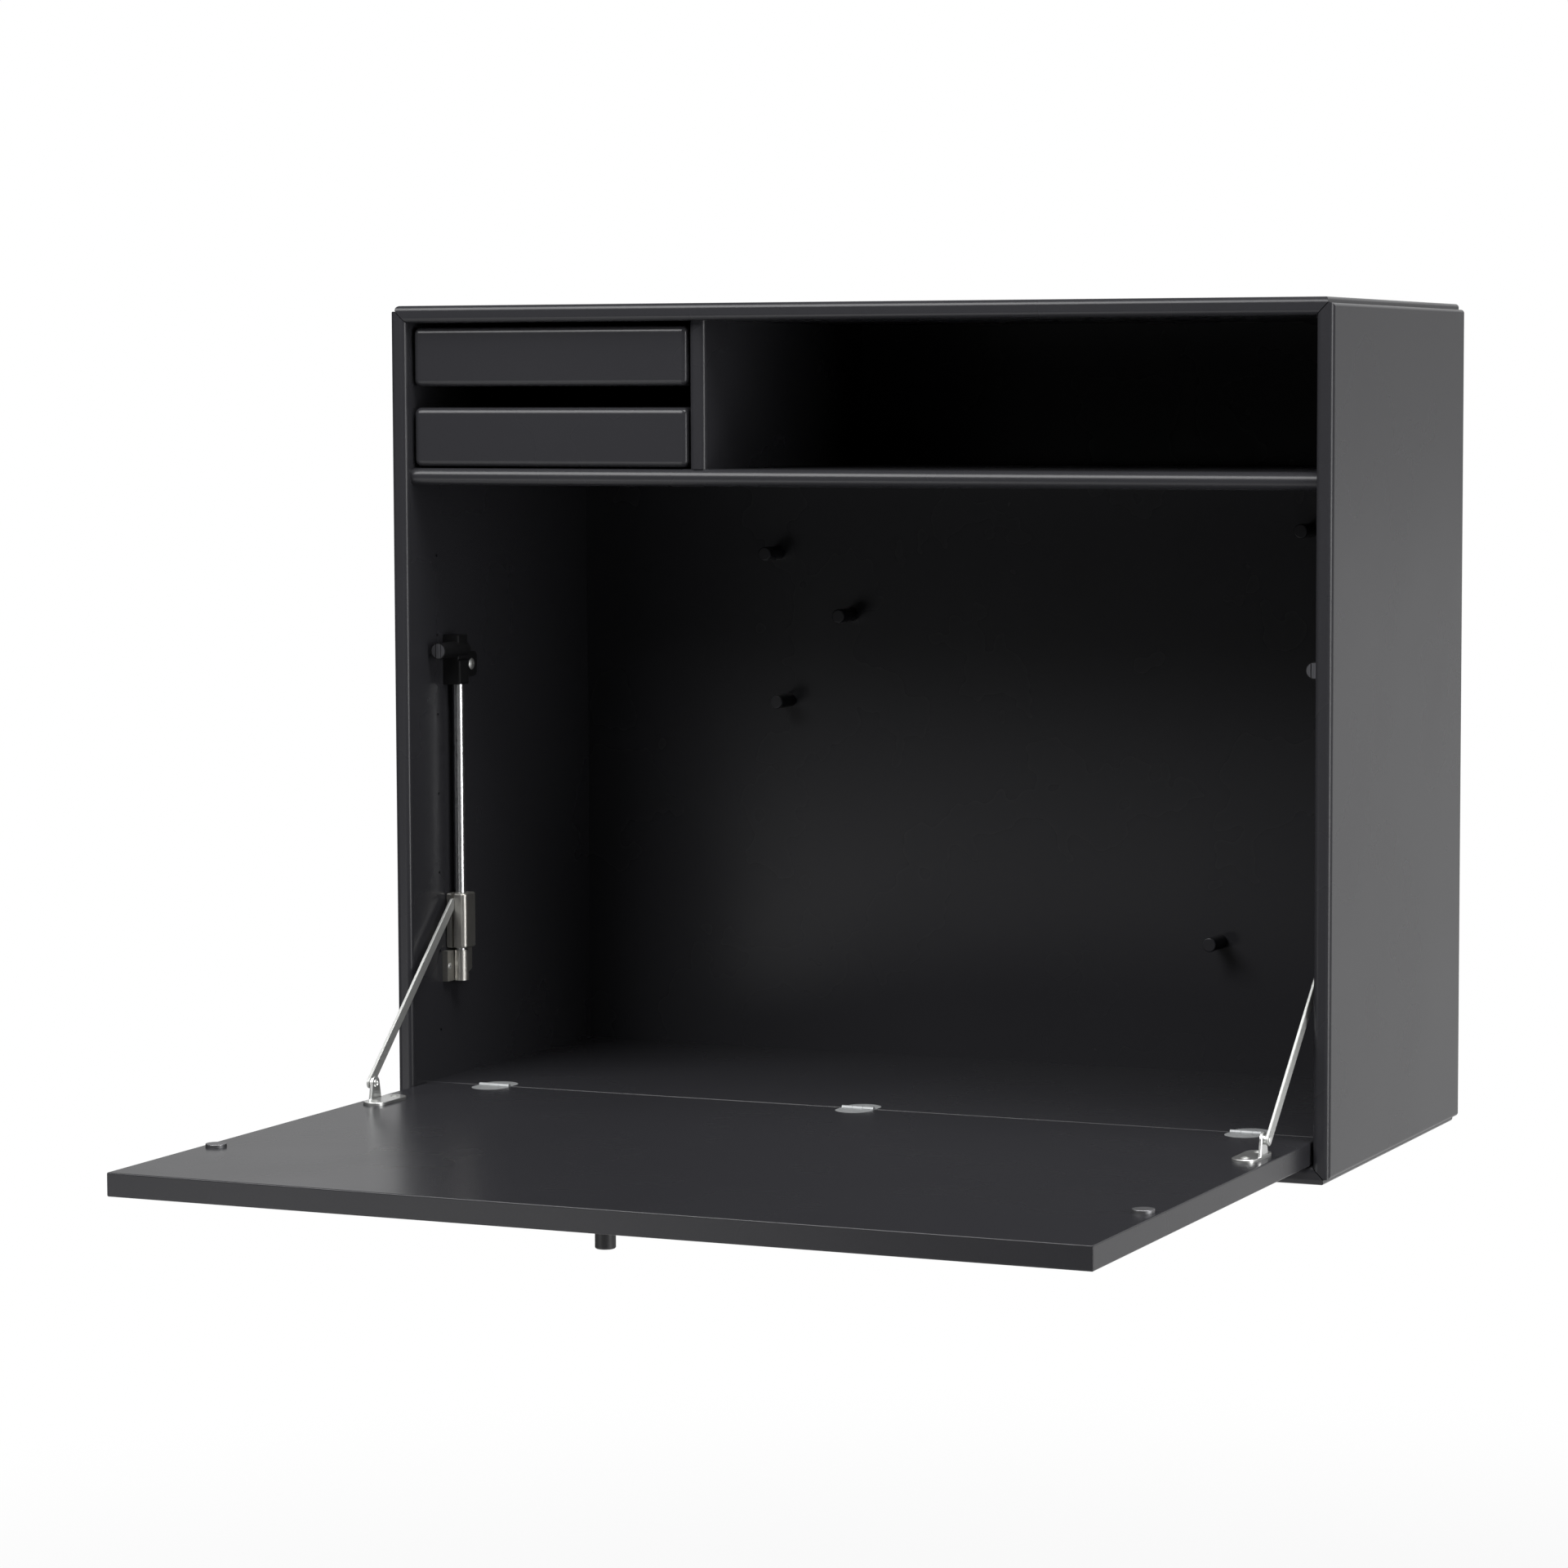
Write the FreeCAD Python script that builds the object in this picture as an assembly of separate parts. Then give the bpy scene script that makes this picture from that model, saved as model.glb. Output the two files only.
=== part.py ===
import FreeCAD, Part
import math
import os

# Wall-hung fold-down desk. X runs to the right, Y into the wall, Z up.
# The origin is the middle of the case's lower rear edge, on the wall.

# Case boards
case_width = 696.0
case_height = 582.0
case_depth = 300.0
board = 12.0
corner_step = 4.0
edge_r = 4.0
step_r = 2.5
mitre_slot_half = 0.2
mitre_slot_depth = 4.0
back_t = 8.0
back_recess = 11.0
floor_t = 16.0
floor_edge_r = 1.0
upper_bay = 102.0
drawer_bay = 217.0
shelf_setback = 6.5
shelf_nose_r = 5.5
divider_setback = 9.0
pilot_r = 1.25
pilot_depth = 8.0
pilot_setback = 43.0
pilot_first = 63.0
pilot_pitch = 57.0
pilot_count = 7

# Dowels and pegs
dowel_r = 4.0
dowel_in_side = 8.0
dowel_in_shelf = 18.0
dowel_places_shares = (0.25, 0.78)
peg_r = 5.2
peg_len = 25.0
peg_edge_r = 1.0
spigot_r = 3.0
spigot_len = 6.0
peg_places_shares = ((-0.524, 0.689), (-0.346, 0.611), (-0.497, 0.5), (0.7205, 0.725), (0.52, 0.213))

# Drawers
drawer_side_gap = 1.5
drawer_low_gap = 1.2
drawer_top_gap = 3.2
finger_gap = 15.0
drawer_edge_r = 4.5
drawer_front_t = 16.0
drawer_setback = 8.5
drawer_side_t = 10.0
drawer_wall_gap = 4.5
drawer_back_gap = 14.0
drawer_bottom_t = 5.0
drawer_front_margin = 1.5
runner_h = 8.4
runner_reach = 8.8
runner_end_gap = 2.0
runner_rear_gap = 10.0
groove_depth = 5.0
groove_play = 0.3

# Flap and its hinges
flap_side_gap = 1.5
flap_top_gap = 1.5
flap_rest_gap = 0.4
flap_edge_r = 1.0
hinge_setback = 25.0
seam_half = 0.3
hinge_inset = 53.0
leaf_half_w = 12.75
leaf_straight = 8.0
leaf_t = 2.0
leaf_play = 0.15
knuckle_r = 1.8
knuckle_half = 11.8
knuckle_split = 4.0
knuckle_gap = 0.15
knuckle_room = 0.4
pin_r = 0.9
running_play = 0.05
knob_r = 6.5
knob_len = 16.0
knob_edge_r = 1.2
knob_from_edge = 38.0
knob_stud_r = 2.5
knob_stud_len = 9.0
disc_r = 7.0
disc_h = 2.3
disc_edge_r = 0.5
disc_inset = 11.0
disc_above_magnet = 2.5

# Screws
hinge_screw_head_r = 2.3
hinge_screw_r = 1.2
hinge_screw_len = 10.0
hinge_screw_places_shares = ((-0.55, 0.38), (0.55, 0.38), (0.0, 0.78))
stay_screw_head_r = 4.2
stay_screw_r = 1.7
stay_screw_len = 13.0
foot_screw_head_r = 2.55
foot_screw_r = 1.3
bracket_screw_head_r = 3.0
bracket_screw_r = 1.5
bracket_screw_len = 11.0

# Sliding stay on each side wall
rod_r = 3.75
rod_from_wall = 8.2
rod_setback = 59.5
rod_in_foot = 12.0
rod_in_housing = 14.0
arm_from_wall = 4.9
arm_t = 2.0
arm_w = 7.6
arm_ease = 0.3
slider_pivot_setback = 50.7
slider_pivot_rise = 126.1
slider_above_pivot = 7.3
slider_h = 39.7
slider_front_setback = 51.5
slider_rear_setback = 69.2
slider_from_wall = 0.8
slider_inner_from_wall = 15.9
slider_body_r = 3.5
slider_edge_r = 1.5
slot_play = 0.4
slot_rear_setback = 55.0
slider_foot_gap = 1.8
slider_spare = 14.9

# Foot of the stay
foot_h = 22.0
foot_flange_t = 4.4
foot_front_setback = 46.0
foot_rear_setback = 82.6
foot_cut_len = 12.0
foot_cut_h = 6.0
boss_r = 5.2
foot_screw_in = 3.1

# Housing and magnetic catch at the top of the stay
housing_block_h = 17.6
housing_h = 35.6
housing_upper_from_wall = 12.7
housing_front_setback = 51.2
housing_rear_setback = 65.5
housing_inner_from_wall = 13.7
housing_edge_r = 1.5
catch_r = 5.8
catch_from_wall = 9.0
catch_rise = 25.2
magnet_r = 5.2
magnet_len = 8.0
magnet_proud = 0.2
magnet_gap = 0.3
ear_flange_t = 4.0
ear_flange_len = 29.5
ear_flange_half_h = 9.0
ear_screw_in = 8.0
ear_screw_rise = 13.0

# Bracket on the flap
bracket_reach = 96.0
bracket_pivot_h = 12.4
bracket_len = 43.0
bracket_w = 17.5
bracket_t = 2.0
bracket_ease = 0.35
bracket_bend_r = 1.0
ear_from_wall = 8.6
ear_base_half = 7.7
ear_top_r = 5.2
bracket_screw_in = 8.0
rivet_r = 2.0
rivet_head_r = 3.4
rivet_head_t = 1.2
rivet_shoulder_r = 3.0
rivet_play = 0.2

# Wall rail and cleat behind the back panel
rail_t = 2.0
rail_len = 560.0
rail_hole_inset = 40.0
rail_hole_r = 2.75
rail_flat_h = 28.0
rail_lip_h = 16.0
rail_step = 4.0
rail_from_top = 76.0
cleat_len = 540.0
cleat_tail_h = 30.0
cleat_play = 0.5

overrun = 5.0
same_place = 0.001

V = FreeCAD.Vector
UP = V(0, 0, 1)
RIGHT = V(1, 0, 0)
INWARD = V(0, 1, 0)

# Places that follow from the sizes above
half_width = case_width / 2
inner_x = half_width - board
inner_top = case_height - board
front_y = -case_depth
back_rear = -back_recess
back_face = back_rear - back_t
shelf_top = inner_top - upper_bay
shelf_low = shelf_top - board
divider_x = -inner_x + drawer_bay
floor_top = board + floor_t
hinge_y = front_y + hinge_setback
flap_half_w = inner_x - flap_side_gap
flap_low = board + flap_rest_gap
flap_rear = hinge_y - seam_half
flap_edge = hinge_y - (shelf_low - flap_top_gap - floor_top)
hinge_places = {"left": -inner_x + hinge_inset, "center": 0.0, "right": inner_x - hinge_inset}

# The stay's linkage, drawn on the right-hand wall
wall_x = inner_x
arm_outer = wall_x - arm_from_wall
arm_inner = arm_outer - arm_t
bracket_pivot = V(arm_inner, hinge_y - bracket_reach, floor_top + bracket_pivot_h)
slider_pivot = V(arm_inner, front_y + slider_pivot_setback, floor_top + slider_pivot_rise)
arm_len = (slider_pivot - bracket_pivot).Length
closed_pivot_y = hinge_y + bracket_pivot_h
closed_pivot_z = floor_top + bracket_reach
closed_rise = math.sqrt(arm_len ** 2 - (slider_pivot.y - closed_pivot_y) ** 2)
slider_travel = closed_pivot_z + closed_rise - slider_pivot.z
slider_top = slider_pivot.z + slider_above_pivot
slider_low = slider_top - slider_h
foot_top = slider_low - slider_foot_gap
foot_low = foot_top - foot_h
housing_low = slider_top + slider_travel + slider_spare
magnet_z = housing_low + catch_rise
magnet_face = hinge_y + disc_h + magnet_gap
disc_y = hinge_y - (magnet_z + disc_above_magnet - floor_top)
rod_x = wall_x - rod_from_wall
rod_y = front_y + rod_setback

# Drawer box lines
drawer_x0 = -inner_x + drawer_side_gap
drawer_x1 = divider_x - drawer_side_gap
drawer_h = (upper_bay - drawer_low_gap - finger_gap - drawer_top_gap) / 2
drawer_front_y = front_y + drawer_setback
drawer_box_y = drawer_front_y + drawer_front_t
drawer_rear = back_face - drawer_back_gap
drawer_lows = {
    "lower": shelf_top + drawer_low_gap,
    "upper": shelf_top + drawer_low_gap + drawer_h + finger_gap,
}


def block(x, y, z):
    return Part.makeBox(x[1] - x[0], y[1] - y[0], z[1] - z[0], V(x[0], y[0], z[0]))


def round_bar(radius, start, end):
    return Part.makeCylinder(radius, (end - start).Length, start, end - start)


def prism(points, reach):
    return Part.Face(Part.makePolygon(list(points) + [points[0]])).extrude(reach)


def outline_prism(edges, reach):
    return Part.Face(Part.Wire(edges)).extrude(reach)


def rounded(shape, radius, chosen):
    return shape.makeFillet(radius, [edge for edge in shape.Edges if chosen(edge.BoundBox)])


def eased(shape, size, chosen):
    return shape.makeChamfer(size, [edge for edge in shape.Edges if chosen(edge.BoundBox)])


def on_front(y):
    return lambda b: abs(b.YMin - y) < same_place and abs(b.YMax - y) < same_place


def along_y_at(x, z):
    return lambda b: abs(b.XMin - x) < same_place and abs(b.ZMin - z) < same_place and b.YLength > same_place


def joined(*shapes):
    return shapes[0].fuse(list(shapes[1:])).removeSplitter()


def mirrored(shape):
    return shape.mirror(V(0, 0, 0), RIGHT)


def countersunk_screw(head, direction, head_r, shank_r, length):
    cone_h = head_r - shank_r
    cone = Part.makeCone(head_r, shank_r, cone_h, head, direction)
    return joined(cone, Part.makeCylinder(shank_r, length, head, direction))


def case_boards():
    # Two sides, top and bottom, mitred so that each outer face runs a step past its neighbour's end.
    # A shallow slot on the front of each mitre is the line of the joint.
    end_x = half_width - corner_step
    end_z = case_height - corner_step
    depth = V(0, case_depth, 0)

    def at(x, z):
        return V(x, front_y, z)

    def mitre_slot(way_x, way_z):
        inner = V(way_x * inner_x, front_y - overrun, inner_top if way_z > 0 else board)
        along = V(way_x, 0, way_z)
        aside = V(way_x, 0, -way_z) * mitre_slot_half
        start, end = inner - along * overrun, inner + along * board
        points = [start + aside, end + aside, end - aside, start - aside]
        return prism(points, INWARD * (overrun + mitre_slot_depth))

    side_points = [
        at(inner_x, board), at(end_x, corner_step), at(half_width, corner_step),
        at(half_width, end_z), at(end_x, end_z), at(inner_x, inner_top),
    ]
    side = prism(side_points, depth)
    side = rounded(side, step_r, along_y_at(half_width, corner_step))
    side = rounded(side, step_r, along_y_at(half_width, end_z))
    side_blank = block((inner_x, half_width), (front_y, 0), (0, case_height))
    long_front = lambda b: on_front(front_y)(b) and b.ZLength > board
    side = side.common(rounded(side_blank, edge_r, long_front)).cut([mitre_slot(1, 1), mitre_slot(1, -1)])

    top_points = [
        at(-inner_x, inner_top), at(-end_x, end_z), at(-end_x, case_height),
        at(end_x, case_height), at(end_x, end_z), at(inner_x, inner_top),
    ]
    top = prism(top_points, depth)
    top = rounded(top, step_r, along_y_at(end_x, case_height))
    top = rounded(top, step_r, along_y_at(-end_x, case_height))
    top_blank = block((-half_width, half_width), (front_y, 0), (inner_top, case_height))
    wide_front = lambda b: on_front(front_y)(b) and b.XLength > board
    top = top.common(rounded(top_blank, edge_r, wide_front)).cut([mitre_slot(1, 1), mitre_slot(-1, 1)])
    bottom = top.mirror(V(0, 0, case_height / 2), UP)
    return {"case_left_side": mirrored(side), "case_right_side": side, "case_top": top, "case_bottom": bottom}


def inner_boards():
    # Back panel, shelf with a bullnose, divider and the raised floor behind the flap
    back = block((-inner_x, inner_x), (back_face, back_rear), (board, inner_top))
    shelf_front = front_y + shelf_setback
    shelf = block((-inner_x, inner_x), (shelf_front, back_face), (shelf_low, shelf_top))
    shelf = rounded(shelf, shelf_nose_r, lambda b: on_front(shelf_front)(b) and b.XLength > board)
    divider_front = front_y + divider_setback
    divider = block((divider_x, divider_x + board), (divider_front, back_face), (shelf_top, inner_top))
    divider = rounded(divider, edge_r, lambda b: on_front(divider_front)(b) and b.ZLength > board)
    floor = block((-inner_x, inner_x), (hinge_y + seam_half, back_face), (board, floor_top))
    floor = rounded(floor, floor_edge_r, lambda b: on_front(hinge_y + seam_half)(b) and b.ZMin > board)
    return {"case_back": back, "shelf": shelf, "divider": divider, "floor_board": floor}


def dowels(nodes):
    # Beech dowels hold the shelf's ends in the sides and the divider between shelf and top
    bay_depth = case_depth - back_recess - back_t
    places = [front_y + share * bay_depth for share in dowel_places_shares]
    shelf_mid = (shelf_low + shelf_top) / 2
    divider_mid = divider_x + board / 2
    in_shelf = []
    in_divider = []
    for y in places:
        for way in (1, -1):
            start = V(way * (inner_x + dowel_in_side), y, shelf_mid)
            in_shelf.append(round_bar(dowel_r, start, V(way * (inner_x - dowel_in_shelf), y, shelf_mid)))
        for seat, way in ((shelf_top, 1), (inner_top, -1)):
            start = V(divider_mid, y, seat - way * dowel_in_side)
            in_divider.append(round_bar(dowel_r, start, V(divider_mid, y, seat + way * dowel_in_shelf)))
    for name in ("case_left_side", "case_right_side"):
        nodes[name] = nodes[name].cut(in_shelf)
    nodes["shelf"] = nodes["shelf"].cut(in_shelf + in_divider)
    for name in ("divider", "case_top"):
        nodes[name] = nodes[name].cut(in_divider)
    nodes["shelf_dowels"] = Part.makeCompound(in_shelf)
    nodes["divider_dowels"] = Part.makeCompound(in_divider)


def pilot_holes(nodes):
    # A row of small blind holes near the front of each side, for the stays' screws
    holes = []
    for row in range(pilot_count):
        mouth = V(inner_x - overrun, front_y + pilot_setback, pilot_first + row * pilot_pitch)
        holes.append(round_bar(pilot_r, mouth, mouth + RIGHT * (overrun + pilot_depth)))
    nodes["case_right_side"] = nodes["case_right_side"].cut(holes)
    nodes["case_left_side"] = nodes["case_left_side"].cut([mirrored(hole) for hole in holes])


def back_pegs(nodes):
    # Turned pegs stand on the back panel, each with a spigot glued into it
    pegs = []
    sockets = []
    for x_share, z_share in peg_places_shares:
        foot = V(x_share * inner_x, back_face, z_share * case_height)
        spigot = round_bar(spigot_r, foot, foot + INWARD * spigot_len)
        tip_y = back_face - peg_len
        peg = rounded(round_bar(peg_r, foot, foot - INWARD * peg_len), peg_edge_r, on_front(tip_y))
        pegs.append(joined(peg, spigot))
        sockets.append(spigot)
    nodes["case_back"] = nodes["case_back"].cut(sockets)
    nodes["back_pegs"] = Part.makeCompound(pegs)


def wall_rail(nodes):
    # Folded steel rail screwed to the wall, and the cleat on the back panel that hooks over its lip
    low = case_height - rail_from_top
    lip_low = low + rail_flat_h
    lip_top = lip_low + rail_lip_h
    lip_y = -rail_step - rail_t
    flat = block((-rail_len / 2, rail_len / 2), (-rail_t, 0), (low, lip_low))
    step = block((-rail_len / 2, rail_len / 2), (lip_y, 0), (lip_low - rail_t, lip_low))
    lip = block((-rail_len / 2, rail_len / 2), (lip_y, -rail_step), (lip_low - rail_t, lip_top))
    rail = joined(flat, step, lip)
    hole_z = low + (rail_flat_h - rail_t) / 2
    for way in (-1, 1):
        centre = V(way * (rail_len / 2 - rail_hole_inset), -rail_t - overrun, hole_z)
        rail = rail.cut(round_bar(rail_hole_r, centre, centre + INWARD * (rail_t + 2 * overrun)))
    nodes["wall_rail"] = rail

    hook_rear = -rail_step + cleat_play + rail_t
    span = (-cleat_len / 2, cleat_len / 2)
    roof_low = lip_top + cleat_play
    tail = block(span, (back_rear, back_rear + rail_t), (roof_low - cleat_tail_h, roof_low + rail_t))
    roof = block(span, (back_rear, hook_rear), (roof_low, roof_low + rail_t))
    hook_low = lip_low + cleat_play
    hook = block(span, (-rail_step + cleat_play, hook_rear), (hook_low, roof_low + rail_t))
    nodes["hanger_cleat"] = joined(tail, roof, hook)


def drawers():
    # Two shallow drawers: a rounded front, grooved sides, back and bottom, on runners at both sides
    pieces = {}
    mid_x = (drawer_x0 + drawer_x1) / 2
    box_half = (divider_x + inner_x) / 2 - drawer_wall_gap
    inside_half = box_half - drawer_side_t
    for name, low in drawer_lows.items():
        top = low + drawer_h
        front = block((drawer_x0, drawer_x1), (drawer_front_y, drawer_box_y), (low, top))
        not_rear = lambda b: b.YMin < drawer_box_y - same_place
        pieces[name + "_drawer_front"] = rounded(front, drawer_edge_r, not_rear)
        side_low = low + drawer_front_margin
        side_top = top - drawer_front_margin
        runner_mid = (low + top) / 2
        groove_half = runner_h / 2 + groove_play
        groove_front = drawer_box_y + runner_end_gap
        for side_name, way, wall in (("left", -1, -inner_x), ("right", 1, divider_x)):
            outer = mid_x + way * box_half
            inner = mid_x + way * inside_half
            x_span = (min(outer, inner), max(outer, inner))
            side = block(x_span, (drawer_box_y, drawer_rear), (side_low, side_top))
            groove_in = outer - way * groove_depth
            groove_out = outer + way * overrun
            groove_x = (min(groove_in, groove_out), max(groove_in, groove_out))
            groove_z = (runner_mid - groove_half, runner_mid + groove_half)
            groove = block(groove_x, (groove_front, drawer_rear + overrun), groove_z)
            pieces[name + "_drawer_" + side_name + "_side"] = side.cut(groove)
            tip = wall - way * runner_reach
            runner_x = (min(wall, tip), max(wall, tip))
            runner_y = (groove_front + runner_end_gap, drawer_rear - runner_rear_gap)
            runner_z = (runner_mid - runner_h / 2, runner_mid + runner_h / 2)
            pieces[name + "_drawer_" + side_name + "_runner"] = block(runner_x, runner_y, runner_z)
        inside_x = (mid_x - inside_half, mid_x + inside_half)
        back_y = drawer_rear - drawer_side_t
        pieces[name + "_drawer_back"] = block(inside_x, (back_y, drawer_rear), (side_low, side_top))
        bottom_z = (side_low, side_low + drawer_bottom_t)
        pieces[name + "_drawer_bottom"] = block(inside_x, (drawer_box_y, back_y), bottom_z)
    return pieces


def half_oval(middle_x, way, near, play, z):
    # Half of an oval hinge leaf, lying on one side of the seam
    half = leaf_half_w + play
    near_y = hinge_y + way * near
    turn_y = hinge_y + way * leaf_straight
    tip_y = turn_y + way * half
    a = V(middle_x - half, near_y, z[0])
    b = V(middle_x - half, turn_y, z[0])
    tip = V(middle_x, tip_y, z[0])
    c = V(middle_x + half, turn_y, z[0])
    d = V(middle_x + half, near_y, z[0])
    arc = Part.Arc(b, tip, c).toShape()
    edges = [Part.makeLine(a, b), arc, Part.makeLine(c, d), Part.makeLine(d, a)]
    return outline_prism(edges, UP * (z[1] - z[0]))


def hinge_axis_bar(radius, x0, x1):
    return round_bar(radius, V(x0, hinge_y, floor_top), V(x1, hinge_y, floor_top))


def hinges(nodes):
    # Three flush oval hinges: a leaf in the floor with two knuckles, a leaf in the flap with one, and a pin
    leaf_z = (floor_top - leaf_t, floor_top)
    web_reach = knuckle_r + knuckle_room
    leaf_depth = leaf_straight + leaf_half_w
    pins = []
    screws = {1: [], -1: []}
    for name, x in hinge_places.items():
        spans = {
            1: [(x - knuckle_half, x - knuckle_split), (x + knuckle_split, x + knuckle_half)],
            -1: [(x - knuckle_split + knuckle_gap, x + knuckle_split - knuckle_gap)],
        }
        room = hinge_axis_bar(knuckle_r + knuckle_room, x - leaf_half_w, x + leaf_half_w)
        for way, body, label in ((1, "floor_board", "floor"), (-1, "flap_panel", "flap")):
            leaf = half_oval(x, way, web_reach, 0, leaf_z)
            webs = []
            for x0, x1 in spans[way]:
                ends = (hinge_y, hinge_y + way * web_reach)
                webs.append(block((x0, x1), (min(ends), max(ends)), leaf_z))
                webs.append(hinge_axis_bar(knuckle_r, x0, x1))
            bore = pin_r if way == 1 else pin_r + running_play
            leaf = joined(leaf, *webs).cut(hinge_axis_bar(bore, x - leaf_half_w, x + leaf_half_w))
            own = []
            for x_share, y_share in hinge_screw_places_shares:
                head = V(x + x_share * leaf_half_w, hinge_y + way * y_share * leaf_depth, floor_top)
                own.append(countersunk_screw(head, -UP, hinge_screw_head_r, hinge_screw_r, hinge_screw_len))
            pocket = half_oval(x, way, 0, leaf_play, (floor_top - leaf_t, floor_top + overrun))
            nodes[body] = nodes[body].cut([pocket, room] + own)
            nodes["hinge_" + label + "_leaf_" + name] = leaf.cut(own)
            screws[way] += own
        pins.append(hinge_axis_bar(pin_r, x - knuckle_half, x + knuckle_half))
    nodes["hinge_pins"] = Part.makeCompound(pins)
    nodes["hinge_floor_screws"] = Part.makeCompound(screws[1])
    nodes["hinge_flap_screws"] = Part.makeCompound(screws[-1])


def flap(nodes):
    # The writing flap, its knob below the free edge and the two steel strike discs
    panel = block((-flap_half_w, flap_half_w), (flap_edge, flap_rear), (flap_low, floor_top))
    outer_edges = lambda b: b.YMin < flap_rear - same_place or b.ZMin > floor_top - same_place
    panel = rounded(panel, flap_edge_r, outer_edges)
    knob_y = flap_edge + knob_from_edge
    seat = V(0, knob_y, flap_low)
    tip_z = flap_low - knob_len
    knob = round_bar(knob_r, seat, seat - UP * knob_len)
    knob = rounded(knob, knob_edge_r, lambda b: abs(b.ZMax - tip_z) < same_place)
    stud = round_bar(knob_stud_r, seat, seat + UP * knob_stud_len)
    nodes["flap_panel"] = panel.cut(stud)
    nodes["flap_knob"] = joined(knob, stud)
    disc_seat = V(flap_half_w - disc_inset, disc_y, floor_top)
    disc_top = floor_top + disc_h
    disc = round_bar(disc_r, disc_seat, disc_seat + UP * disc_h)
    disc = rounded(disc, disc_edge_r, lambda b: abs(b.ZMin - disc_top) < same_place)
    nodes["strike_disc_right"] = disc
    nodes["strike_disc_left"] = mirrored(disc)


def rod_bar(radius, low, top):
    return round_bar(radius, V(rod_x, rod_y, low), V(rod_x, rod_y, top))


def stay_slider():
    # Cast slider: bored for the rod, slotted from the front for the arm
    x_span = (wall_x - slider_inner_from_wall, wall_x - slider_from_wall)
    y_span = (front_y + slider_front_setback, front_y + slider_rear_setback)
    body = block(x_span, y_span, (slider_low, slider_top))
    inner_edges = lambda b: abs(b.XMax - x_span[0]) < same_place and b.ZLength > same_place
    body = rounded(body, slider_body_r, inner_edges)
    ends = lambda b: b.ZLength < same_place and b.XMax < x_span[1] + same_place
    body = rounded(body, slider_edge_r, ends)
    slot_x = (arm_inner - slot_play, arm_outer + slot_play)
    slot_y = (y_span[0] - overrun, front_y + slot_rear_setback)
    slot = block(slot_x, slot_y, (slider_low - overrun, slider_top + overrun))
    return body.cut([slot, rod_bar(rod_r + running_play, slider_low - overrun, slider_top + overrun)])


def stay_foot():
    # Cast foot: a flange on the wall with its lower rear corner cut off, and a round boss for the rod
    front = front_y + foot_front_setback
    rear = front_y + foot_rear_setback
    outer = wall_x - foot_flange_t
    points = [
        V(outer, front, foot_low), V(outer, rear - foot_cut_len, foot_low),
        V(outer, rear, foot_low + foot_cut_h), V(outer, rear, foot_top), V(outer, front, foot_top),
    ]
    flange = prism(points, RIGHT * foot_flange_t)
    foot = joined(flange, rod_bar(boss_r, foot_low, foot_top))
    foot = foot.cut(rod_bar(rod_r, foot_top - rod_in_foot, foot_top + overrun))
    head = V(outer, front + foot_screw_in, (foot_low + foot_top) / 2)
    screw = countersunk_screw(head, RIGHT, foot_screw_head_r, foot_screw_r, stay_screw_len)
    return foot.cut(screw), screw


def stay_housing():
    # Moulded housing: block on the rod's top, barrel for the magnet, flange with a screw
    inner = wall_x - housing_inner_from_wall
    front = front_y + housing_front_setback
    rear = front_y + housing_rear_setback
    lower = block((inner, wall_x), (front, rear), (housing_low, housing_low + housing_block_h))
    lower = rounded(lower, housing_edge_r, lambda b: abs(b.XMax - inner) < same_place)
    catch_x = wall_x - catch_from_wall
    upper_inner = wall_x - housing_upper_from_wall
    upper_z = (housing_low + housing_block_h, housing_low + housing_h)
    upper = block((upper_inner, wall_x), (front, rear), upper_z)
    upper = rounded(upper, housing_edge_r, lambda b: abs(b.XMax - upper_inner) < same_place)
    barrel_front = magnet_face + magnet_proud
    axis_start = V(catch_x, barrel_front, magnet_z)
    barrel = round_bar(catch_r, axis_start, V(catch_x, rear, magnet_z))
    flange_z = housing_low + ear_screw_rise
    flange = block(
        (wall_x - ear_flange_t, wall_x), (rear, rear + ear_flange_len),
        (flange_z - ear_flange_half_h, flange_z + ear_flange_half_h),
    )
    flange_end = on_front(rear + ear_flange_len)
    flange = rounded(flange, ear_flange_half_h / 2, lambda b: flange_end(b) and b.XLength > same_place)
    housing = joined(lower, upper, barrel, flange)
    housing = housing.cut(rod_bar(rod_r, housing_low, housing_low + rod_in_housing))
    magnet_start = V(catch_x, magnet_face, magnet_z)
    magnet = round_bar(magnet_r, magnet_start, magnet_start + INWARD * magnet_len)
    head = V(wall_x - ear_flange_t, rear + ear_flange_len - ear_screw_in, flange_z)
    screw = countersunk_screw(head, RIGHT, stay_screw_head_r, stay_screw_r, stay_screw_len)
    return housing.cut([magnet, screw]), magnet, screw


def stay_arm():
    # Flat steel arm from the bracket on the flap to the slider, round at both ends
    along = slider_pivot - bracket_pivot
    along.normalize()
    across = RIGHT.cross(along) * (arm_w / 2)
    near, far = bracket_pivot, slider_pivot
    round_far = Part.Arc(far + across, far + along * (arm_w / 2), far - across).toShape()
    round_near = Part.Arc(near - across, near - along * (arm_w / 2), near + across).toShape()
    edges = [
        Part.makeLine(near + across, far + across), round_far,
        Part.makeLine(far - across, near - across), round_near,
    ]
    arm = eased(outline_prism(edges, RIGHT * arm_t), arm_ease, lambda b: b.XLength < same_place)
    eye = round_bar(rivet_r + running_play, near - RIGHT * overrun, near + RIGHT * (arm_t + overrun))
    return arm.cut(eye)


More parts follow.
